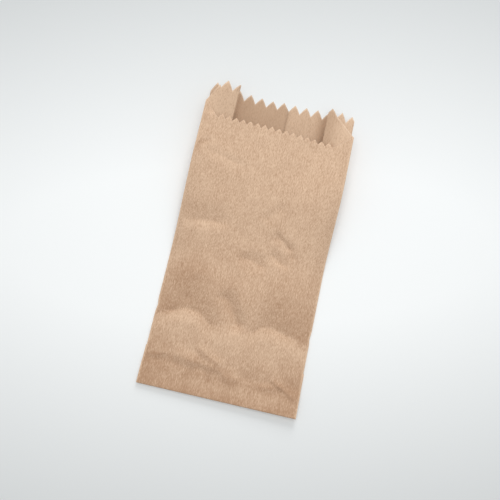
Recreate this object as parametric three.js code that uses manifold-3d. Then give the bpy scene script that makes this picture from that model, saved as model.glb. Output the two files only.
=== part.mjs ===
// Flat kraft paper bag with side gussets and a serrated mouth, lying on its back panel.
// Millimetres. X runs across the bag, Y from the pasted bottom to the mouth, Z up.
// One sheet of paper: a tube of six legs (back panel, two leaves of the right gusset, front panel,
// two leaves of the left gusset), folded over and pasted at the bottom.
import * as THREE from 'three';
import { mergeVertices } from 'three/addons/utils/BufferGeometryUtils.js';
import Module from 'manifold-3d';

// The blank
const bagWidth = 100;
const bagLength = 200.5;
const gussetDepth = 20;
const paperThickness = 0.1;
const seamOverlap = 10;

// The mouth: coarse teeth through all layers, a shorter lip with fine teeth on the front panel
const toothPitch = 7.85;
const toothDepth = 5.8;
const toothOffset = 0.9;
const lipSetback = 27.9;
const lipSkew = 0.035;
const lipToothPitch = 4.85;
const lipToothDepth = 3.1;
const lipOffset = -1;
const cornerWidth = 11.2;
const leftCornerRise = 11.6;
const rightCornerRise = 8.1;
const leftTearReach = 7.5;
const rightTearReach = 13.5;

// The bottom: every layer is folded over to the back, the front layer reaches further
const hemDepth = 12.5;
const hemUnderThickness = 0.4;
const flapNarrowing = 10;

// Folds between the legs, as radii of the middle of the paper
const pressedFoldRadius = 0.1;
const looseFoldRadius = 0.18;
const glueSink = 0.02;

// How far the bag has sprung open, left and right side fold
const leftFoldHeight = 13;
const leftOpenStart = 75;
const leftOpenEnd = 158;
const rightFoldHeight = 12.4;
const rightOpenStart = 88;
const rightOpenEnd = 150;
const leftFoldTipLift = 1.5;
const leafCurl = 2;
const leftMouthDraw = 0.9;

// The curled back corner at the left of the mouth
const cornerCurl = 8.5;
const cornerCurlLength = 50;
const cornerCurlWidth = 36;

// The front panel: a swell over its middle and a crease across it that wanders up and down
const swellHeight = 5.4;
const swellRiseEnd = 75;
const swellFallStart = 92;
const swellFallEnd = 150;
const firstCreaseY = 46.5;
const firstCreaseWave = 3.5;
const firstCreaseDepth = 1.7;
const firstCreaseReachDown = 9;
const firstCreaseReachUp = 26;
const secondCreaseY = 107;
const sideWaist = 0.6;

// The front panel dips beside the right fold near the mouth
const mouthDip = 3;
const mouthDipX = 30;
const mouthDipWidth = 26;

// Other creases of the front panel: from x, y to x, y, their depth, and how far they reach towards
// the bottom and towards the mouth
const creases = [
  { from: [-bagWidth / 2, secondCreaseY], to: [-12, secondCreaseY], depth: 0.9, down: 7, up: 15 },
  { from: [-12, 66], to: [3, 47], depth: 1.2, down: 12, up: 5 },
  { from: [-30, 22], to: [9, 16], depth: -0.7, down: 4, up: 8 },
  { from: [-50, 17], to: [-38, 21], depth: 0.6, down: 5, up: 3 },
  { from: [30, 20], to: [50, 9.5], depth: 0.7, down: 5, up: 3 },
  { from: [14, 109.5], to: [26, 101.5], depth: 1, down: 8, up: 4 },
  { from: [-7, 92], to: [8, 90], depth: 0.6, down: 9, up: 6 },
  { from: [-50, 150], to: [-44, 158], depth: 0.5, down: 4, up: 3 },
];

// Mesh fineness: strips up to the end of the hem, the end of the flap, the two creases and the lip,
// and on from there to the mouth; below the lip only one column in several is needed
const foldSteps = 3;
const cornerSteps = 3;
const bodyStrips = [2, 4, 3, 13, 11];
const mouthStrips = 4;
const everyFrontColumn = 2;
const everyBackColumn = 5;

const halfWidth = bagWidth / 2;
const toothValleyY = bagLength - toothDepth;
const lipValleyY = bagLength - lipSetback;
const lipStartY = lipValleyY - 4;
const flapReach = hemDepth + toothValleyY - lipValleyY;
const lipTeeth = 2 * Math.floor((halfWidth - cornerWidth + 1) / lipToothPitch);
const lipLeft = lipOffset - lipTeeth * lipToothPitch / 2;
const lipRight = lipOffset + lipTeeth * lipToothPitch / 2;

const { clamp, lerp, smoothstep } = THREE.MathUtils;

// Height of a row of triangular teeth above its valleys, with a tip at the given offset
function toothHeight(x, pitch, depth, tipX) {
  const fromTip = Math.abs((((x - tipX) % pitch) + 1.5 * pitch) % pitch - pitch / 2);
  return depth * (1 - 2 * fromTip / pitch);
}

const coarseEdge = (x) => toothValleyY + toothHeight(x, toothPitch, toothDepth, toothOffset);
const fineEdge = (x) => lipValleyY - lipSkew * x
  + toothHeight(x, lipToothPitch, lipToothDepth, lipOffset + lipToothPitch / 2);

// Top edge of the front panel: fine teeth, then a torn slope up to each side fold
function frontEdge(x) {
  const [end, rise] = x < 0 ? [lipLeft, leftCornerRise] : [lipRight, rightCornerRise];
  const beyond = (Math.abs(x) - Math.abs(end)) / (halfWidth - Math.abs(end));
  return beyond > 0 ? lerp(fineEdge(end), lipValleyY + rise, beyond) : fineEdge(x);
}

// Top edge of a front leaf: the tear goes on across it until it meets the coarse teeth
function frontLeafEdge(x) {
  const fromFold = halfWidth - Math.abs(x);
  const reach = x < 0 ? leftTearReach : rightTearReach;
  const start = lipValleyY + (x < 0 ? leftCornerRise : rightCornerRise);
  const torn = lerp(start, toothValleyY, fromFold / reach);
  return fromFold < reach ? torn : coarseEdge(x);
}

// Tips and valleys of the coarse teeth strictly between two places across the bag
function toothStations(from, to) {
  const stations = [];
  const first = Math.ceil((from - toothOffset) / (toothPitch / 2));
  for (let k = first; toothOffset + k * toothPitch / 2 < to; k++) {
    stations.push(toothOffset + k * toothPitch / 2);
  }
  return stations.filter((x) => x > from + 0.4 && x < to - 0.4);
}

// The side gussets, seen as a section across the bag at height y along it

const foldRadius = (y) => lerp(pressedFoldRadius, looseFoldRadius, smoothstep(y, hemDepth, 2 * hemDepth));

function backHeight(x, y) {
  const onTable = paperThickness / 2;
  const onFlap = 1.5 * paperThickness - glueSink;
  const onHem = hemUnderThickness + paperThickness / 2;
  const lift = lerp(onHem, onFlap, smoothstep(y, hemDepth, hemDepth + 5));
  const settled = lerp(lift, onTable, smoothstep(y, flapReach, flapReach + 4));
  const along = clamp((y - bagLength + cornerCurlLength) / cornerCurlLength, 0, 1);
  const across = clamp((-x - halfWidth + cornerCurlWidth) / cornerCurlWidth, 0, 1);
  return settled + cornerCurl * along * along * across;
}

function sideFoldX(side, y) {
  const waist = smoothstep(y, hemDepth, 2 * hemDepth) * (1 - smoothstep(y, rightOpenStart, rightOpenEnd));
  const drawn = side < 0 ? leftMouthDraw * smoothstep(y, leftOpenStart, leftOpenEnd) : 0;
  return halfWidth - paperThickness - sideWaist * waist - drawn;
}

// Rise of the front side fold above the back one, beyond the pressed stack of layers
function opening(side, y) {
  const right = rightFoldHeight * smoothstep(y, rightOpenStart, rightOpenEnd);
  const left = leftFoldHeight * smoothstep(y, leftOpenStart, leftOpenEnd)
    + leftFoldTipLift * smoothstep(y, leftOpenEnd, bagLength);
  const curl = backHeight(-halfWidth, y) - backHeight(0, y);
  return side > 0 ? right : Math.max(left - curl, 0);
}

// Middle of the paper in a gusset: part 0 back fold, 1 back leaf, 2 inner crease, 3 front leaf,
// 4 front fold; share runs from 0 to 1 along the part, from the back panel to the front panel
function gussetPoint(side, part, share, y) {
  const r = foldRadius(y);
  const leaf = gussetDepth - 2 * r;
  const tilt = Math.asin(clamp(opening(side, y) / 2 / leaf, 0, 0.9));
  const foldX = sideFoldX(side, y);
  const path = new THREE.Vector2(foldX - r, backHeight(side * foldX, y) + r);
  const turn = (angle) => new THREE.Vector2(Math.cos(angle), Math.sin(angle)).multiplyScalar(r);
  const quarter = Math.PI / 2;
  if (part === 0) return path.add(turn(lerp(-quarter, quarter - tilt, share)));
  path.add(turn(quarter - tilt));
  const backReach = part === 1 ? share * leaf : leaf;
  path.x -= backReach * Math.cos(tilt);
  path.y += backReach * Math.sin(tilt);
  if (part === 1) return path;
  path.sub(turn(-quarter - tilt));
  if (part === 2) return path.add(turn(lerp(3 * quarter - tilt, quarter + tilt, share)));
  path.add(turn(quarter + tilt));
  const frontReach = part === 3 ? share * leaf : leaf;
  path.x += frontReach * Math.cos(tilt);
  path.y += frontReach * Math.sin(tilt);
  const curl = side < 0 ? leafCurl * smoothstep(y, lipValleyY, bagLength) : 0;
  if (part === 3) return path.add(new THREE.Vector2(0, curl * Math.sin(Math.PI * share)));
  path.add(turn(quarter + tilt));
  return path.add(turn(lerp(tilt - quarter, quarter, share)));
}

// The front panel

// The first crease bows towards the mouth twice on its way across
function creaseBow(x) {
  const bow = Math.cos(2 * Math.PI * (Math.abs(x) / bagWidth - 0.3) / 0.4);
  return firstCreaseWave * bow;
}

function swell(x, y) {
  const along = smoothstep(y, hemDepth - 1, swellRiseEnd)
    * (1 - smoothstep(y, swellFallStart, swellFallEnd));
  return swellHeight * along * (1 - Math.pow(Math.abs(x) / halfWidth, 3.5));
}

function creaseDrop(x, y) {
  const valley = (depth, beside, down, up) => {
    const share = 1 - Math.abs(beside) / (beside < 0 ? down : up);
    return depth * Math.pow(clamp(share, 0, 1), 1.5);
  };
  const firstDepth = firstCreaseDepth * (0.7 + 0.3 * creaseBow(x) / firstCreaseWave);
  const fromFirst = y - firstCreaseY - creaseBow(x);
  let drop = valley(firstDepth, fromFirst, firstCreaseReachDown, firstCreaseReachUp);
  for (const { from, to, depth, down, up } of creases) {
    const start = new THREE.Vector2(...from);
    const run = new THREE.Vector2(...to).sub(start);
    const at = new THREE.Vector2(x, y).sub(start);
    const along = at.dot(run) / run.lengthSq();
    const inside = smoothstep(along, -0.2, 0.15) * (1 - smoothstep(along, 0.85, 1.2));
    drop += inside * valley(depth, run.cross(at) / run.length(), down, up);
  }
  return drop;
}

// The drops end above the leaves, which slope down from the side folds
function frontPoint(x, y) {
  const right = gussetPoint(1, 4, 1, y);
  const left = gussetPoint(-1, 4, 1, y);
  const share = (x + halfWidth) / bagWidth;
  const dipAcross = clamp(1 - Math.abs(x - mouthDipX) / mouthDipWidth, 0, 1);
  const dip = mouthDip * dipAcross * smoothstep(y, secondCreaseY, lipValleyY);
  const leafSlope = opening(x < 0 ? -1 : 1, y) / 2 / gussetDepth;
  const room = 0.6 * leafSlope * (halfWidth - Math.abs(x));
  const change = Math.max(swell(x, y) - dip - creaseDrop(x, y), -room);
  return new THREE.Vector2(lerp(-left.x, right.x, share), lerp(left.y, right.y, share) + change);
}

function backPoint(x, y) {
  const reach = sideFoldX(x < 0 ? -1 : 1, y) - foldRadius(y);
  const placeX = reach * x / halfWidth;
  return new THREE.Vector2(placeX, backHeight(placeX, y));
}

// Columns run once round the tube. Each has its place across the flat bag, its top edge, whether
// the seam doubles the paper there, its place in the section at y, and whether it is a main column
// that starts at the bottom of the bag instead of at the lip.
const columns = [];

function addPanelColumns(places, every, edge, point, doubled) {
  places.forEach((x, k) => {
    const main = k % every === 0 || Math.abs(Math.abs(x) - seamEdge) < 0.2;
    columns.push({ x, main, top: edge(x), point: (y) => point(x, y), doubled: doubled(x) });
  });
}

function addGussetColumns(side, part, shares, edge) {
  for (const share of shares) {
    const fromFold = [0, share, 1, 1 - share, 0][part] * gussetDepth;
    const x = side * (halfWidth - fromFold);
    const point = (y) => {
      const place = gussetPoint(side, part, share, y);
      return new THREE.Vector2(side * place.x, place.y);
    };
    columns.push({ x, main: part % 2 === 0, top: edge(x), point, doubled: false });
  }
}

function leafShares(side, toFront) {
  const inner = halfWidth - gussetDepth;
  const places = side > 0 ? toothStations(inner, halfWidth) : toothStations(-halfWidth, -inner);
  const shares = places.map((x) => (halfWidth - Math.abs(x)) / gussetDepth);
  const reach = (side > 0 ? rightTearReach : leftTearReach) / gussetDepth;
  const besideTear = shares.filter((s) => Math.abs(s - reach) > 0.04);
  const kept = toFront ? besideTear.concat(reach).map((s) => 1 - s) : shares;
  return kept.sort((a, b) => a - b);
}

const foldShares = Array.from({ length: foldSteps + 1 }, (_, k) => k / foldSteps);
const seamEdge = seamOverlap / 2;
const backPlaces = toothStations(-halfWidth, halfWidth)
  .filter((x) => Math.abs(Math.abs(x) - seamEdge) > 0.5)
  .concat([-seamEdge - 0.15, -seamEdge, seamEdge, seamEdge + 0.15])
  .sort((a, b) => a - b);
const frontPlaces = [];
for (let k = 1; k <= cornerSteps - 1; k++) frontPlaces.push(lerp(halfWidth, lipRight, k / cornerSteps));
for (let k = 0; k <= 2 * lipTeeth; k++) frontPlaces.push(lipRight - k * lipToothPitch / 2);
for (let k = 1; k <= cornerSteps - 1; k++) frontPlaces.push(lerp(lipLeft, -halfWidth, k / cornerSteps));

const backwards = (shares) => [...shares].reverse();
addPanelColumns(backPlaces, everyBackColumn, coarseEdge, backPoint, (x) => Math.abs(x) <= seamEdge);
addGussetColumns(1, 0, foldShares, coarseEdge);
addGussetColumns(1, 1, leafShares(1, false), coarseEdge);
addGussetColumns(1, 2, foldShares, coarseEdge);
addGussetColumns(1, 3, leafShares(1, true), frontLeafEdge);
addGussetColumns(1, 4, foldShares, frontLeafEdge);
addPanelColumns(frontPlaces, everyFrontColumn, frontEdge, frontPoint, () => false);
addGussetColumns(-1, 4, backwards(foldShares), frontLeafEdge);
addGussetColumns(-1, 3, backwards(leafShares(-1, true)), frontLeafEdge);
addGussetColumns(-1, 2, backwards(foldShares), coarseEdge);
addGussetColumns(-1, 1, backwards(leafShares(-1, false)), coarseEdge);
addGussetColumns(-1, 0, backwards(foldShares), coarseEdge);

// Rows run from inside the pasted hem to the mouth. Near the first crease they follow its bow.
const rows = [hemDepth / 3];
[hemDepth, flapReach, firstCreaseY, secondCreaseY, lipStartY].forEach((end, part) => {
  const start = rows.at(-1);
  for (let k = 1; k <= bodyStrips[part]; k++) rows.push(lerp(start, end, k / bodyStrips[part]));
});

function rowY(column, row) {
  if (row < rows.length) {
    const bend = clamp(1 - Math.abs(rows[row] - firstCreaseY) / (firstCreaseY - hemDepth), 0, 1);
    return rows[row] + creaseBow(column.x) * bend;
  }
  return lerp(lipStartY, column.top, (row - rows.length + 1) / mouthStrips);
}

// Faces between two rows that go round the tube and may have different columns
function stitch(low, high, addFace) {
  const columnAt = (row, k) => (k < row.length ? row[k].column : columns.length);
  let [i, j] = [0, 0];
  while (i < low.length || j < high.length) {
    const [a, b] = [low[i % low.length].vertex, high[j % high.length].vertex];
    const lowIsNext = i < low.length && columnAt(low, i + 1) <= columnAt(high, j + 1);
    if (lowIsNext) i++;
    else j++;
    addFace(a, b, lowIsNext ? low[i % low.length].vertex : high[j % high.length].vertex);
  }
}

// The tube: middle of the paper, then half the paper's thickness out and in along the miter of
// the two sides that meet at each column
function tube() {
  const outer = [];
  const inner = [];
  const grid = [];
  for (let row = 0; row < rows.length + mouthStrips; row++) {
    const used = columns.map((column, k) => k).filter((k) => columns[k].main || row >= rows.length - 1);
    const middle = used.map((k) => columns[k].point(rowY(columns[k], row)));
    grid.push(used.map((column, place) => ({ column, vertex: outer.length / 3 + place })));
    used.forEach((k, place) => {
      const at = middle[place];
      const arriving = at.clone().sub(middle.at(place - 1)).normalize();
      const leaving = middle[(place + 1) % middle.length].clone().sub(at).normalize();
      const outward = new THREE.Vector2(arriving.y + leaving.y, -arriving.x - leaving.x).normalize();
      const miter = 1 / Math.max(outward.x * leaving.y - outward.y * leaving.x, 0.5);
      const out = miter * paperThickness / 2;
      const into = columns[k].doubled ? out + paperThickness : out;
      const y = rowY(columns[k], row);
      outer.push(at.x + outward.x * out, y, at.y + outward.y * out);
      inner.push(at.x - outward.x * into, y, at.y - outward.y * into);
    });
  }
  const innerStart = outer.length / 3;
  const faces = [];
  for (let row = 0; row < grid.length - 1; row++) {
    stitch(grid[row], grid[row + 1], (a, b, c) => {
      faces.push(a, b, c);
      faces.push(innerStart + a, innerStart + c, innerStart + b);
    });
  }
  const edges = (row) => row.map(({ vertex }, k) => [vertex, row[(k + 1) % row.length].vertex]);
  for (const [a, b] of edges(grid[0])) faces.push(a, b, innerStart + b, a, innerStart + b, innerStart + a);
  for (const [b, a] of edges(grid.at(-1))) faces.push(a, b, innerStart + b, a, innerStart + b, innerStart + a);
  const geometry = new THREE.BufferGeometry();
  geometry.setAttribute('position', new THREE.Float32BufferAttribute(outer.concat(inner), 3));
  geometry.setIndex(faces);
  return geometry;
}

// The hem: all layers pasted together, with the fold at the very bottom as its round nose
function hem() {
  const top = gussetPoint(1, 4, 1, hemDepth).y + paperThickness / 2 + glueSink;
  const nose = top / 2;
  const section = new THREE.Shape();
  section.moveTo(hemDepth, 0);
  section.lineTo(hemDepth, top);
  section.lineTo(nose, top);
  section.absarc(nose, nose, nose, Math.PI / 2, 3 * Math.PI / 2, false);
  const settings = { depth: bagWidth, bevelEnabled: false, curveSegments: 5 };
  const geometry = new THREE.ExtrudeGeometry(section, settings);
  const across = new THREE.Vector3(1, 0, 0);
  const along = new THREE.Vector3(0, 1, 0);
  const up = new THREE.Vector3(0, 0, 1);
  geometry.applyMatrix4(new THREE.Matrix4().makeBasis(along, up, across));
  geometry.translate(-halfWidth, 0, 0);
  return geometry;
}

// The flap: the front layer pasted on the back panel, cut by the fine teeth and the corner tears
function flap() {
  const shoulder = flapReach - flapNarrowing;
  const outline = new THREE.Shape();
  outline.moveTo(-halfWidth, hemDepth / 2);
  outline.lineTo(halfWidth, hemDepth / 2);
  outline.lineTo(halfWidth, shoulder);
  for (let k = 0; k <= 2 * lipTeeth; k++) {
    const x = lipRight - k * lipToothPitch / 2;
    outline.lineTo(x, flapReach - (fineEdge(x) - lipValleyY));
  }
  outline.lineTo(-halfWidth, shoulder);
  return new THREE.ExtrudeGeometry(outline, { depth: paperThickness, bevelEnabled: false });
}

const wasm = await Module();
wasm.setup();

function toSolid(geometry) {
  geometry.deleteAttribute('normal');
  geometry.deleteAttribute('uv');
  const merged = mergeVertices(geometry);
  const mesh = new wasm.Mesh({
    numProp: 3,
    vertProperties: new Float32Array(merged.attributes.position.array),
    triVerts: new Uint32Array(merged.index.array),
  });
  return new wasm.Manifold(mesh);
}

function toGeometry(solid) {
  const mesh = solid.getMesh();
  const geometry = new THREE.BufferGeometry();
  geometry.setAttribute('position', new THREE.Float32BufferAttribute(mesh.vertProperties, 3));
  geometry.setIndex(Array.from(mesh.triVerts));
  geometry.computeVertexNormals();
  return geometry;
}

const bagGeometry = toGeometry(toSolid(tube()).add(toSolid(hem())).add(toSolid(flap())));

// The origin is the middle of the footprint, on the surface that the bag lies on
bagGeometry.computeBoundingBox();
const footprint = bagGeometry.boundingBox.getCenter(new THREE.Vector3());
bagGeometry.translate(-footprint.x, -footprint.y, -bagGeometry.boundingBox.min.z);

const kraft = new THREE.MeshStandardMaterial({ color: 0xcfa780, roughness: 0.85, metalness: 0 });
const paperBag = new THREE.Mesh(bagGeometry, kraft);
paperBag.name = 'paper_bag';

const part = new THREE.Group();
part.add(paperBag);
export default part;
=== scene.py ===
import math
import bmesh
import bpy
from mathutils import Matrix, Vector, noise


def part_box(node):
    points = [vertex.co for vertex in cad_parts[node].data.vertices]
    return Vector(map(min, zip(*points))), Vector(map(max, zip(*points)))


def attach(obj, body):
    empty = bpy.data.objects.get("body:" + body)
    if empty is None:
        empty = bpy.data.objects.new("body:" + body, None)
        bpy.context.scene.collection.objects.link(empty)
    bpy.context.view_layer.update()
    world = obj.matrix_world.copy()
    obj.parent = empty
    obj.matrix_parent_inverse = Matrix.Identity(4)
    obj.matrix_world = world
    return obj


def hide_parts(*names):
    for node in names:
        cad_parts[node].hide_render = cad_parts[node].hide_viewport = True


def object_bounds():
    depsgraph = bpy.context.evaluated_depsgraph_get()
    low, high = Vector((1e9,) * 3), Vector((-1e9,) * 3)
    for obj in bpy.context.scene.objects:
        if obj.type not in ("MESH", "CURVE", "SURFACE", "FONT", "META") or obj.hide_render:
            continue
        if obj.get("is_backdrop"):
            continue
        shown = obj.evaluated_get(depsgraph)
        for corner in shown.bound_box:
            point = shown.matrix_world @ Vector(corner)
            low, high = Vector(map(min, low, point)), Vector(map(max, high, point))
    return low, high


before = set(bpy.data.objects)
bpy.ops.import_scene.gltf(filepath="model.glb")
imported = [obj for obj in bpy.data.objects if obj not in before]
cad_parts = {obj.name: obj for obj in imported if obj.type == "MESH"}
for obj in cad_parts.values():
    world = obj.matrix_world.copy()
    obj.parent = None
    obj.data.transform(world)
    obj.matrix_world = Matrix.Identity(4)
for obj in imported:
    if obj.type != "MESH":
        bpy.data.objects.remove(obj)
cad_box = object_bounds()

# The folded sheet: one web of brown kraft paper, formed into a gusseted tube and cut with a coarse
# toothed knife through all layers and a fine toothed one through the front panel alone. Sizes are
# metres; y is counted from the bottom fold to the mouth.

mm = 0.001
bag_low, bag_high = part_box("paper_bag")
bag_length = bag_high.y - bag_low.y
half_width = 50 * mm
gusset_depth = 20 * mm
paper = 0.1 * mm

coarse_pitch = 7.85 * mm
coarse_depth = 5.8 * mm
coarse_offset = 0.9 * mm
coarse_blunt = 0.1
fine_pitch = 4.85 * mm
fine_depth = 3.1 * mm
fine_blunt = 0.08
fine_teeth = 16
tooth_unevenness = 0.12
lip_centre = -1 * mm
lip_setback = 27.9 * mm
lip_skew = 0.035
left_corner_rise = 11.6 * mm
right_corner_rise = 8.1 * mm
left_tear_reach = 6.9 * mm
left_tear_bump = 1.9 * mm
right_tear_reach = 13.5 * mm

hem_depth = 12.5 * mm
seam = 5 * mm
coarse_valley = bag_length - coarse_depth
lip_valley = bag_length - lip_setback
lip_start = lip_valley - 4 * mm
cut_to_cut = coarse_valley + hem_depth
lip_left = lip_centre - fine_teeth * fine_pitch / 2
lip_right = lip_centre + fine_teeth * fine_pitch / 2


def mix(a, b, share):
    return a + (b - a) * share


def limited(value, low=0.0, high=1.0):
    return min(max(value, low), high)


def eased(value, start, end):
    t = limited((value - start) / (end - start))
    return t * t * (3 - 2 * t)


def tooth(x, pitch, depth, tip_x, blunt):
    """Height of a row of teeth above its valleys, with blunt tips that are not all the same."""
    from_tip = abs((x - tip_x + pitch / 2) % pitch - pitch / 2)
    count = math.floor((x - tip_x) / pitch + 0.5)
    uneven = 1 + tooth_unevenness * noise.noise(Vector((count * 3.7, pitch / mm, 0.5)))
    return depth * uneven * limited((1 - 2 * from_tip / pitch) / (1 - blunt))


def coarse_edge(x):
    return coarse_valley + tooth(x, coarse_pitch, coarse_depth, coarse_offset, coarse_blunt)


def lip_line(x):
    """Valleys of the fine teeth: that knife stood a little askew."""
    return lip_valley - lip_skew * x


def front_edge(x):
    """The fine teeth of the lip, then a torn slope up to each side fold."""
    if x < lip_left:
        share = (lip_left - x) / (lip_left + half_width)
        return mix(lip_line(lip_left), lip_valley + left_corner_rise, share)
    if x > lip_right:
        share = (x - lip_right) / (half_width - lip_right)
        return mix(lip_line(lip_right), lip_valley + right_corner_rise, share)
    first_tip = lip_centre + fine_pitch / 2
    return lip_line(x) + tooth(x, fine_pitch, fine_depth, first_tip, fine_blunt)


def front_leaf_edge(x):
    """The tear goes on across the front leaf until it meets the coarse teeth."""
    from_fold = half_width - abs(x)
    reach = left_tear_reach if x < 0 else right_tear_reach
    start = lip_valley + (left_corner_rise if x < 0 else right_corner_rise)
    end = coarse_valley + (left_tear_bump if x < 0 else 0)
    return mix(start, end, from_fold / reach) if from_fold <= reach else coarse_edge(x)


# The folds: the tube lies pressed flat at its bottom and has sprung open towards the mouth. The left
# side stands about 15 mm high there and the right one 13 mm, and the left corner of the back curls up.

pressed_radius = 0.065 * mm
loose_radius = 0.18 * mm

# The bottom fold turns round a line at this height and this far up the bag
hem_core = 0.52 * mm
bottom_fold_y = 0.5 * mm
hem_ramp = 5 * mm
flap_end = cut_to_cut - lip_valley
flap_ramp = 4 * mm

curl_height = 8.5 * mm
curl_length = 50 * mm
curl_start_x = 14 * mm
curl_width = 36 * mm
fold_play = 0.1 * mm
waist_depth = 0.6 * mm
notch_depth = 0.5 * mm
notch_reach = 4 * mm
notch_y = 49 * mm
left_draw = 0.9 * mm
left_open, left_open_start, left_open_end = 13 * mm, 75 * mm, 158 * mm
right_open, right_open_start, right_open_end = 12.4 * mm, 88 * mm, 150 * mm
left_tip_lift = 1.5 * mm
left_leaf_bulge = 2 * mm


def fold_radius(y):
    return mix(pressed_radius, loose_radius, eased(y, hem_depth, 2 * hem_depth))


def back_height(x, y):
    """Height of the back panel: over the hem, over the flap, then on the surface, and up at the curl."""
    on_hem = hem_core + pressed_radius
    on_flap = 1.7 * paper
    on_surface = 0.5 * paper
    height = mix(on_hem, on_flap, eased(y, hem_depth, hem_depth + hem_ramp))
    height = mix(height, on_surface, eased(y, flap_end, flap_end + flap_ramp))
    along = limited((y - bag_length + curl_length) / curl_length)
    across = limited((-x - curl_start_x) / curl_width)
    return height + curl_height * along * along * across


def side_fold_x(side, y):
    """How far out a side fold lies: a slight waist, a nick at the first crease, drawn in at the left."""
    waist = waist_depth * eased(y, hem_depth, 2 * hem_depth)
    waist *= 1 - eased(y, right_open_start, right_open_end)
    notch = notch_depth * limited(1 - abs(y - notch_y) / notch_reach)
    drawn = left_draw * eased(y, left_open_start, left_open_end) if side < 0 else 0
    return half_width - fold_play - waist - notch - drawn


def opening(side, y):
    """How far the front fold of a side stands above its back fold."""
    if side > 0:
        return right_open * eased(y, right_open_start, right_open_end)
    sprung = left_open * eased(y, left_open_start, left_open_end)
    sprung += left_tip_lift * eased(y, left_open_end, bag_length)
    curl = back_height(-half_width, y) - back_height(0, y)
    return max(sprung - curl, 0)


def gusset_point(side, part, share, y):
    """Middle of the paper in a gusset, whose parts are 0 back fold, 1 back leaf, 2 inner crease,
    3 front leaf and 4 front fold."""
    r = fold_radius(y)
    leaf = gusset_depth - 2 * r
    tilt = math.asin(opening(side, y) / 2 / leaf)
    quarter = math.pi / 2
    fold_x = side_fold_x(side, y)
    at = Vector((fold_x - r, back_height(side * fold_x, y) + r))

    def turn(angle):
        return Vector((math.cos(angle), math.sin(angle))) * r

    if part == 0:
        return at + turn(mix(-quarter, quarter - tilt, share))
    at += turn(quarter - tilt)
    reach = share * leaf if part == 1 else leaf
    at += Vector((-math.cos(tilt), math.sin(tilt))) * reach
    if part == 1:
        return at
    at -= turn(-quarter - tilt)
    if part == 2:
        return at + turn(mix(3 * quarter - tilt, quarter + tilt, share))
    at += turn(quarter + tilt)
    reach = share * leaf if part == 3 else leaf
    at += Vector((math.cos(tilt), math.sin(tilt))) * reach
    if part == 3:
        bulge = left_leaf_bulge * eased(y, lip_valley, bag_length) if side < 0 else 0
        return at + Vector((0, bulge * math.sin(math.pi * share)))
    at += turn(quarter + tilt)
    return at + turn(mix(tilt - quarter, quarter, share))


# The front panel: it swells where the narrower waist leaves it slack, and carries the creases of a
# bag that was packed, folded across and opened out again.

# The first crease runs right across: x, y and depth of its corners, in millimetres
first_crease = [(-50, 43, 0.9), (-44, 46, 1.8), (-31, 51, 2.4), (-23, 50, 1.9), (-14, 43, 1.2),
                (-5, 46, 0.6), (4, 47, 0.6), (14, 45, 1), (18, 49, 1.8), (26, 50, 2.3),
                (34, 48, 2.4), (50, 43.5, 0.9)]
first_crease_y = 46.5 * mm
first_crease_reach_down = 9 * mm
first_crease_reach_up = 26 * mm

# The others: start, end, depth (a ridge where it is negative), and how far they reach towards the
# bottom and towards the mouth. The first of them is the second fold across.
creases = [
    ((-46, 106), (-20, 108), 1.4, 7, 13),
    ((-7.5, 64), (4, 46), 2.1, 9, 7),
    ((-32, 55), (-28, 70), 0.5, 6, 5),
    ((-14.5, 43.5), (-12, 48), 0.5, 1.5, 1.5),
    ((-32, 22), (-18, 19), -1, 6, 7),
    ((-20, 20), (-6, 19), -0.8, 5, 7),
    ((-8, 19), (10, 14), -1, 6, 8),
    ((-18, 28), (-3, 21), -0.7, 3, 6),
    ((-49, 17.5), (-37, 21), -0.8, 3, 7),
    ((31, 19.5), (38, 15.5), -0.8, 2, 5),
    ((37, 16), (50, 9.5), -1.2, 2.5, 6),
    ((25, 13), (37, 16), -0.6, 3, 4),
    ((15, 108), (26, 101.5), 1.2, 7, 3),
    ((25, 103), (29, 95), 0.7, 4, 3.5),
    ((14, 94), (26, 89), 1, 5, 8),
    ((-4, 89.5), (11, 87), 1.1, 9, 7),
    ((5, 115), (15, 125), 0.6, 6, 6),
    ((-42, 152), (-15, 145), 0.6, 6, 6),
    ((-50, 150), (-43, 159), 1.5, 4, 3),
    ((-50, 44), (-39, 48), 0.5, 1.8, 2.5),
]


def first_crease_at(x):
    """Height along the bag and depth of the first crease at x."""
    for (x0, y0, depth0), (x1, y1, depth1) in zip(first_crease, first_crease[1:]):
        if x <= x1 * mm:
            break
    share = limited((x / mm - x0) / (x1 - x0))
    return mix(y0, y1, share) * mm, mix(depth0, depth1, share) * mm


wander = 1.4
wander_size = 5


def wandering(x, y):
    """The same place in millimetres, moved a little so that no crease runs dead straight."""
    at = Vector((x, y, 0)) / mm
    across = wander * noise.noise(at / wander_size)
    along = wander * noise.noise(at / wander_size + Vector((0, 0, 9)))
    return Vector((at.x + across, at.y + along))


def along_and_beside(at, start, end):
    """Where a place is along a crease, as a share of it, and how many millimetres beside it."""
    start = Vector(start)
    run = Vector(end) - start
    return (at - start).dot(run) / run.length_squared, run.cross(at - start) / run.length


def between(value, start, full, fading, end):
    """One from full to fading, easing in from start and out to end."""
    return eased(value, start, full) * (1 - eased(value, fading, end))


crease_sharpness = 1.5


def crease_drop(x, y):
    """How far the creases draw the front panel down."""
    crease_y, depth = first_crease_at(x)
    at = wandering(x, y)
    y = mix(y, at.y * mm, 0.5)
    reach = first_crease_reach_down if y < crease_y else first_crease_reach_up
    drop = depth / mm * limited(1 - abs(y - crease_y) / reach) ** crease_sharpness
    for start, end, depth, reach_down, reach_up in creases:
        along, beside = along_and_beside(at, start, end)
        inside = between(along, -0.2, 0.15, 0.85, 1.2)
        reach = reach_up if beside > 0 else reach_down
        drop += depth * inside * limited(1 - abs(beside) / reach) ** crease_sharpness
    return drop * mm


swell_height = 5.4 * mm


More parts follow.
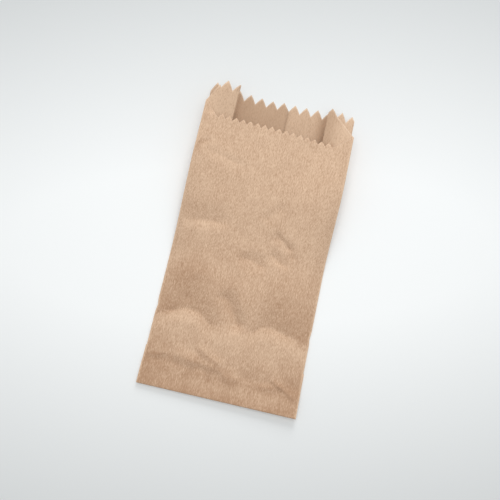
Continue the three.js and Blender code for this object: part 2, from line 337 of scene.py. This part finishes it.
def swell(x, y):
    """The cushion of air under the middle of the front panel."""
    across = abs(x / half_width)
    along = between(y, 4 * mm, 75 * mm, 92 * mm, 150 * mm)
    return swell_height * along * (1 - across ** 4.5)


def shade_and_wear(x, y):
    """Painted shade and highlight on the front panel, with blotches of wear: 0 is the fresh tone, 1 the
    darkest.
    """
    # Painted shade in the first crease, and on a band of its mouth side that is strongest towards the
    # side folds
    above = (y - first_crease_at(x)[0]) / mm
    side = 0.4 + 0.6 * eased(abs(x), 6 * mm, 36 * mm)
    painted_shade_and_wear = 0.8 * side * eased(above, -1.8, 2.6) * limited(1 - above / 34) ** 0.7
    painted_shade_and_wear += 0.3 * limited(1 - abs(above + 1.5) / 3)
    # Painted shade towards the bottom end and its corners, and a painted highlight along the hem
    painted_shade_and_wear += 0.7 * (1 - eased(y, 8 * mm, 38 * mm)) + 0.25 * (1 - eased(y, 0, 5 * mm))
    painted_shade_and_wear += 0.35 * eased(abs(x), 30 * mm, 48 * mm) * (1 - eased(y, 26 * mm, 42 * mm))
    painted_shade_and_wear -= 0.2 * limited(1 - abs(y - 7.5 * mm) / (3.5 * mm)) * eased(x, -32 * mm, -15 * mm)
    # Painted shade on the left half above the second fold across, and on the middle of the bag
    left = eased(-x, 10 * mm, 40 * mm)
    painted_shade_and_wear += 0.25 * left * between(y, 104 * mm, 110 * mm, 110 * mm, 135 * mm)
    painted_shade_and_wear += 0.22 * between(y, 50 * mm, 80 * mm, 85 * mm, 108 * mm)
    # Painted shade in the short creases
    at = wandering(x, y)
    for start, end, depth, reach_down, reach_up in creases[1:]:
        along, beside = along_and_beside(at, start, end)
        inside = between(along, -0.1, 0.1, 0.9, 1.1)
        reach = reach_up if beside > 0 else reach_down
        steep = 1.2 if reach < 5 else 0.2
        painted_shade_and_wear += 0.35 * abs(depth) * steep * inside * limited(1 - abs(beside) / min(reach, 5)) ** 1.2
    # Blotches on the handled end, and slow ones everywhere
    here = Vector((x, y, 0)) / mm
    painted_shade_and_wear += 0.35 * noise.noise(here / 5) * between(y, 5 * mm, 10 * mm, 20 * mm, 34 * mm)
    return limited(painted_shade_and_wear + 0.12 * noise.noise(here / 11))


def crumple(x, y):
    """Slow unevenness of handled paper."""
    at = Vector((x / mm, y / mm, 0))
    slow = noise.noise(at / 23) * 0.35
    quick = noise.noise(at / 9 + Vector((7, 3, 0))) * 0.16 + noise.noise(at / 4) * 0.04
    slack = eased(y, 2 * mm, hem_depth + 8 * mm)
    held = 1 - abs(x / half_width) ** 4
    return (slow + quick) * mm * slack * held


mouth_dip = 3 * mm
mouth_dip_x = 30 * mm
mouth_dip_width = 26 * mm
second_crease_y = 107 * mm
lip_droop = 0.07 * mm
lip_droop_length = 5 * mm


def front_point(x, y):
    """Middle of the paper in the front panel, which hangs between its two side folds."""
    left = gusset_point(-1, 4, 1, y)
    right = gusset_point(1, 4, 1, y)
    share = (x / half_width + 1) / 2
    inside = 1 - abs(x / half_width) ** 6
    dip = mouth_dip * limited(1 - abs(x - mouth_dip_x) / mouth_dip_width)
    dip *= eased(y, second_crease_y, lip_valley)
    past_lip = limited(y - lip_line(x), 0, lip_droop_length) / mm
    droop = lip_droop * past_lip ** 2
    change = swell(x, y) + crumple(x, y) - crease_drop(x, y) * inside - dip - droop
    # It stays above the gusset leaf below it
    leaf_slope = opening(-1 if x < 0 else 1, y) / 2 / gusset_depth
    room = 0.7 * leaf_slope * (half_width - abs(x))
    return Vector((mix(-left.x, right.x, share), mix(left.y, right.y, share) + max(change, -room)))


def back_point(x, y):
    place = (side_fold_x(-1 if x < 0 else 1, y) - fold_radius(y)) * x / half_width
    return Vector((place, back_height(place, y)))


overlap_rise = 1.05 * paper
overlap_ramp = 2 * mm


def overlap_point(x, y):
    """The pasted end of the sheet, lying on its other end inside the back panel."""
    at = back_point(x, y)
    return at + Vector((0, overlap_rise * eased(x, -seam - overlap_ramp, -seam)))


# The bag itself: a grid of paper whose columns run once round the tube, from one end of the sheet to
# the other, which overlaps it in the seam. The lower end is folded over onto the back, and the sheet
# then gets its thickness.

columns = []


def panel_columns(places, edge, point):
    """Columns of a flat panel: each has its place, its height at the cut and its section."""
    for x in places:
        columns.append((x, edge(x), lambda y, x=x: point(x, y)))


def gusset_columns(side, part, shares, edge):
    """Columns of one part of a gusset, numbered as in gusset_point."""
    for share in shares:
        from_fold = (0, share, 1, 1 - share, 0)[part] * gusset_depth

        def point(y, share=share):
            at = gusset_point(side, part, share, y)
            return Vector((side * at.x, at.y))

        x = side * (half_width - from_fold)
        columns.append((x, edge(x), point))


clear_of_fold = 0.3 * mm


def stations(start, end, first, step):
    """Even places between start and end that include the teeth's tips and valleys."""
    count = math.floor((end - start) / step) + 2
    base = math.ceil((start - first) / step)
    places = [first + (base + k) * step for k in range(count)]
    return [x for x in places if start + clear_of_fold < x < end - clear_of_fold]


coarse_step = coarse_pitch / 4
fine_step = fine_pitch / 4
inner = half_width - gusset_depth
corner_steps = 9
fold_shares = [k / 4 for k in range(5)]
first_back_places = [-seam] + stations(-seam, half_width, coarse_offset, coarse_step)
last_back_places = stations(-half_width, seam, coarse_offset, coarse_step) + [seam]
right_leaf = stations(inner, half_width, coarse_offset, coarse_step)
right_leaf = [(half_width - x) / gusset_depth for x in right_leaf]
left_leaf = stations(-half_width, -inner, coarse_offset, coarse_step)
left_leaf = [(half_width + x) / gusset_depth for x in left_leaf] + [left_tear_reach / gusset_depth]
right_corner = [mix(half_width, lip_right, k / corner_steps) for k in range(1, corner_steps)]
left_corner = [mix(lip_left, -half_width, k / corner_steps) for k in range(1, corner_steps)]
lip_places = [lip_right - k * fine_step for k in range(4 * fine_teeth + 1)]
front_places = right_corner + lip_places + left_corner

panel_columns(first_back_places, coarse_edge, back_point)
gusset_columns(1, 0, fold_shares, coarse_edge)
gusset_columns(1, 1, sorted(right_leaf), coarse_edge)
gusset_columns(1, 2, fold_shares, coarse_edge)
gusset_columns(1, 3, sorted(1 - s for s in right_leaf), front_leaf_edge)
gusset_columns(1, 4, fold_shares, front_leaf_edge)
first_front = len(columns)
panel_columns(front_places, front_edge, front_point)
gusset_columns(-1, 4, fold_shares[::-1], front_leaf_edge)
gusset_columns(-1, 3, sorted((1 - s for s in left_leaf), reverse=True), front_leaf_edge)
gusset_columns(-1, 2, fold_shares[::-1], coarse_edge)
gusset_columns(-1, 1, sorted(left_leaf, reverse=True), coarse_edge)
gusset_columns(-1, 0, fold_shares[::-1], coarse_edge)
panel_columns(last_back_places, coarse_edge, overlap_point)

flap_strips = 16
bottom_fold_strips = 6
body_strips = 176
mouth_strips = 18
strips = flap_strips + bottom_fold_strips + body_strips + mouth_strips
left_edge_lift = 0.8 * mm
right_edge_lift = 2.3 * mm
edge_lift_length = 40 * mm


def edge_lift(x, y):
    """The bottom edge stands a little off the surface, more so at its right end."""
    lift = mix(left_edge_lift, right_edge_lift, limited(x / half_width / 2 + 0.5))
    return lift * limited(1 - y / edge_lift_length) ** 2


def bag_vertex(column, row):
    """A point of the grid. Rows run from the flap's cut edge, round the bottom fold, to the mouth."""
    x, top, point = column
    if row <= flap_strips + bottom_fold_strips:
        section = point(bottom_fold_y)
        past_core = section.y - hem_core
        if row <= flap_strips:
            y = bottom_fold_y + (cut_to_cut - top) * (1 - row / flap_strips)
            return Vector((section.x, y, hem_core - past_core + edge_lift(section.x, y)))
        angle = math.pi * (row - flap_strips) / bottom_fold_strips
        height = hem_core - past_core * math.cos(angle) + edge_lift(section.x, 0)
        return Vector((section.x, bottom_fold_y - past_core * math.sin(angle), height))
    row -= flap_strips + bottom_fold_strips
    if row <= body_strips:
        # The rows bend near the first crease, to run along it
        y = mix(bottom_fold_y, lip_start, row / body_strips)
        bend = limited(1 - abs(y - first_crease_y) / (first_crease_y - hem_depth))
        y += (first_crease_at(x)[0] - first_crease_y) * bend
    else:
        y = mix(lip_start, top, (row - body_strips) / mouth_strips)
    section = point(y)
    return Vector((section.x, y, section.y + edge_lift(section.x, y)))


def inner_tone_and_shade(x):
    """How brown the inner face is: darker left of the seam, with painted shade beside the right gusset's
    inner crease and on its leaf.
    """
    if x < -inner:
        return 0.05
    if x < seam:
        return 0.55
    if x < inner + 0.5 * mm:
        return mix(0.22, 0.72, eased(x, 23 * mm, 30 * mm))
    return mix(0.5, 0, eased(x, inner + 2 * mm, 43 * mm))


unhandled = -0.4
last_column = len(columns) - 1
bm = bmesh.new()
bmesh.ops.create_grid(bm, x_segments=last_column, y_segments=strips, size=1)
cut_edge = bm.verts.layers.float.new("cut_edge")
# Painted shade and wear of the front panel, kept per vertex
painted_shade_and_wear = bm.verts.layers.float.new("painted_shade_and_wear")
for vert in bm.verts:
    column = round((vert.co.x + 1) / 2 * last_column)
    row = round((vert.co.y + 1) / 2 * strips)
    vert.co = bag_vertex(columns[column], row) + Vector((0, bag_low.y, 0))
    vert[cut_edge] = 1.0 if row in (0, strips) else 0.0
    on_front = first_front <= column < first_front + len(front_places) and row > flap_strips
    # The front panel gets its painted shade and wear, the other panels a lighter tone
    vert[painted_shade_and_wear] = shade_and_wear(vert.co.x, vert.co.y - bag_low.y) if on_front else unhandled
bmesh.ops.reverse_faces(bm, faces=bm.faces)
bm.normal_update()
for vert in bm.verts:
    vert.co += vert.normal * paper / 2
# Tone of the inner face: darker left of the seam, with painted shade beside the right gusset
inner_face_tone_and_shade = bm.verts.layers.float.new("inner_face_tone_and_shade")
wall = bmesh.ops.solidify(bm, geom=bm.faces[:], thickness=paper)
for item in wall["geom"]:
    if isinstance(item, bmesh.types.BMVert):
        item[inner_face_tone_and_shade] = inner_tone_and_shade(item.co.x)
bag_mesh = bpy.data.meshes.new("kraft_bag")
bm.to_mesh(bag_mesh)
bm.free()
bag_mesh.shade_smooth()
bag = bpy.data.objects.new("kraft_bag", bag_mesh)
bpy.context.collection.objects.link(bag)


# Uncoated brown kraft: long fibres run with the web, so its grain is drawn out lengthwise. Cut edges
# are lighter, painted shade and wear darken the front panel, and the inner face is browner, with
# painted shade beside the right gusset.

kraft = bpy.data.materials.new("brown_kraft")
kraft.use_nodes = True
nodes = kraft.node_tree.nodes
links = kraft.node_tree.links
shader = nodes["Principled BSDF"]
shader.inputs["Roughness"].default_value = 0.85
shader.inputs["Specular IOR Level"].default_value = 0.25
place = nodes.new("ShaderNodeTexCoord").outputs["Object"]


def grain(size, stretch, detail):
    """Noise with grains of the given size in metres, drawn out along the bag."""
    mapping = nodes.new("ShaderNodeMapping")
    mapping.inputs["Scale"].default_value = (1 / size, 1 / size / stretch, 1 / size)
    texture = nodes.new("ShaderNodeTexNoise")
    texture.inputs["Scale"].default_value = 1
    texture.inputs["Detail"].default_value = detail
    links.new(place, mapping.inputs["Vector"])
    links.new(mapping.outputs["Vector"], texture.inputs["Vector"])
    return texture.outputs["Fac"]


def maths(operation, a, b):
    step = nodes.new("ShaderNodeMath")
    step.operation = operation
    for socket, value in zip(step.inputs, (a, b)):
        if isinstance(value, (int, float)):
            socket.default_value = value
        else:
            links.new(value, socket)
    return step.outputs["Value"]


clouds = grain(12 * mm, 1.5, 3)
streaks = grain(0.8 * mm, 8, 3)
fibres = grain(0.34 * mm, 5, 2)
tone = maths("ADD", maths("MULTIPLY", clouds, 0.4), maths("MULTIPLY", streaks, 0.75))
tone = maths("ADD", tone, maths("MULTIPLY", fibres, 2))
# Painted shade and wear darken the paper's tone
painted_shade_and_wear_here = nodes.new("ShaderNodeAttribute")
painted_shade_and_wear_here.attribute_name = "painted_shade_and_wear"
tone = maths("SUBTRACT", tone, maths("MULTIPLY", painted_shade_and_wear_here.outputs["Fac"], 0.55))
tone = maths("SUBTRACT", tone, 0.9)
tones = nodes.new("ShaderNodeValToRGB")
tones.color_ramp.elements[0].position = 0
tones.color_ramp.elements[0].color = (0.435, 0.262, 0.161, 1)
tones.color_ramp.elements[1].position = 1
tones.color_ramp.elements[1].color = (0.742, 0.53, 0.37, 1)
links.new(tone, tones.inputs["Fac"])


def tinted(color, attribute_name, tint, amount):
    """Blend a tint in where the mesh attribute is one."""
    attribute = nodes.new("ShaderNodeAttribute")
    attribute.attribute_name = attribute_name
    blend = nodes.new("ShaderNodeMix")
    blend.data_type = "RGBA"
    links.new(maths("MULTIPLY", attribute.outputs["Fac"], amount), blend.inputs["Factor"])
    links.new(color, blend.inputs["A"])
    blend.inputs["B"].default_value = tint
    return blend.outputs["Result"]


# Painted shade on the inner face beside the right gusset, and its browner tone left of the seam
color = tinted(tones.outputs["Color"], "inner_face_tone_and_shade", (0.4, 0.25, 0.155, 1), 1)
color = tinted(color, "cut_edge", (0.85, 0.72, 0.58, 1), 0.3)
links.new(color, shader.inputs["Base Color"])
bump = nodes.new("ShaderNodeBump")
bump.inputs["Strength"].default_value = 0.35
bump.inputs["Distance"].default_value = 0.12 * mm
links.new(maths("ADD", streaks, maths("MULTIPLY", fibres, 0.6)), bump.inputs["Height"])
links.new(bump.outputs["Normal"], shader.inputs["Normal"])
bag_mesh.materials.append(kraft)

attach(bag, "root")
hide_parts("paper_bag")


# The surface that the bag lies on: a plain pale sheet, with painted shade darkening it towards the
# corners. It lies a hair below the paper, so that the two never share a plane.

floor_mesh = bpy.data.meshes.new("pale_floor")
bm = bmesh.new()
lowered = Matrix.Translation((0, 0, -0.02 * mm))
bmesh.ops.create_grid(bm, x_segments=1, y_segments=1, size=2.5, matrix=lowered)
bm.to_mesh(floor_mesh)
bm.free()
floor = bpy.data.objects.new("pale_floor", floor_mesh)
bpy.context.collection.objects.link(floor)
pale = bpy.data.materials.new("pale_sheet")
pale.use_nodes = True
nodes = pale.node_tree.nodes
links = pale.node_tree.links
shader = nodes["Principled BSDF"]
# Painted shade: the floor darkens towards the corners, as the light falls off there
oval = nodes.new("ShaderNodeMapping")
oval.vector_type = "TEXTURE"
oval.inputs["Rotation"].default_value = (0, 0, 0.22)
oval.inputs["Scale"].default_value = (2, 0.65, 1)
reach = nodes.new("ShaderNodeVectorMath")
reach.operation = "LENGTH"
links.new(nodes.new("ShaderNodeTexCoord").outputs["Object"], oval.inputs["Vector"])
links.new(oval.outputs["Vector"], reach.inputs[0])
painted_corner_shade = nodes.new("ShaderNodeValToRGB")
painted_corner_shade.color_ramp.elements[0].position = 0.08
painted_corner_shade.color_ramp.elements[0].color = (0.93, 0.95, 0.955, 1)
painted_corner_shade.color_ramp.elements[1].position = 0.3
painted_corner_shade.color_ramp.elements[1].color = (0.66, 0.68, 0.685, 1)
links.new(reach.outputs["Value"], painted_corner_shade.inputs["Fac"])
links.new(painted_corner_shade.outputs["Color"], shader.inputs["Base Color"])
shader.inputs["Roughness"].default_value = 0.7
shader.inputs["Specular IOR Level"].default_value = 0.1
floor_mesh.materials.append(pale)
floor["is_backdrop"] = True


# Soft light: a broad lamp overhead, a lower window beyond the mouth, and a dim room. Each lamp has
# its place, size in metres, power in watts and tint, and is turned to the bag.

world = bpy.context.scene.world or bpy.data.worlds.new("room")
bpy.context.scene.world = world
world.use_nodes = True
background = world.node_tree.nodes["Background"]
background.inputs["Color"].default_value = (0.985, 0.995, 1, 1)
background.inputs["Strength"].default_value = 0.58

lamps = [
    ("overhead", Vector((0, 0, 0.42)), 0.35, 0.55, (1, 0.985, 0.96)),
    ("low_window", Vector((0, 1.4, 0.6)), 0.6, 12, (0.985, 0.995, 1)),
]
for name, spot, size, power, color in lamps:
    lamp = bpy.data.lights.new(name, "AREA")
    lamp.shape = "SQUARE"
    lamp.size = size
    lamp.energy = power
    lamp.color = color
    lamp_object = bpy.data.objects.new(name, lamp)
    lamp_object.location = spot
    lamp_object.rotation_euler = (-spot).to_track_quat("-Z", "Y").to_euler()
    bpy.context.collection.objects.link(lamp_object)


# The camera looks down from above the lower half of the bag, tilted ten degrees towards the mouth,
# and is rolled so that the bag leans to the right in the frame.

camera_data = bpy.data.cameras.new("camera")
camera_data.sensor_width = 36
camera_data.lens = 36
camera_data.clip_start = 0.01
camera = bpy.data.objects.new("camera", camera_data)
eye = Vector((7.8 * mm, 40.3 * mm + bag_low.y, 318.3 * mm))
right = Vector((0.97568, 0.21871, 0.01494))
down = Vector((0.21795, -0.96043, -0.17341))
forward = right.cross(down)
camera.matrix_world = Matrix.Translation(eye) @ Matrix((right, -down, -forward)).transposed().to_4x4()
bpy.context.collection.objects.link(camera)
bpy.context.scene.camera = camera
bpy.context.scene.view_settings.view_transform = "Standard"

boxes = {"cad": cad_box, "visual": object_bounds()}
boxes = {name: [list(corner) for corner in box] for name, box in boxes.items()}
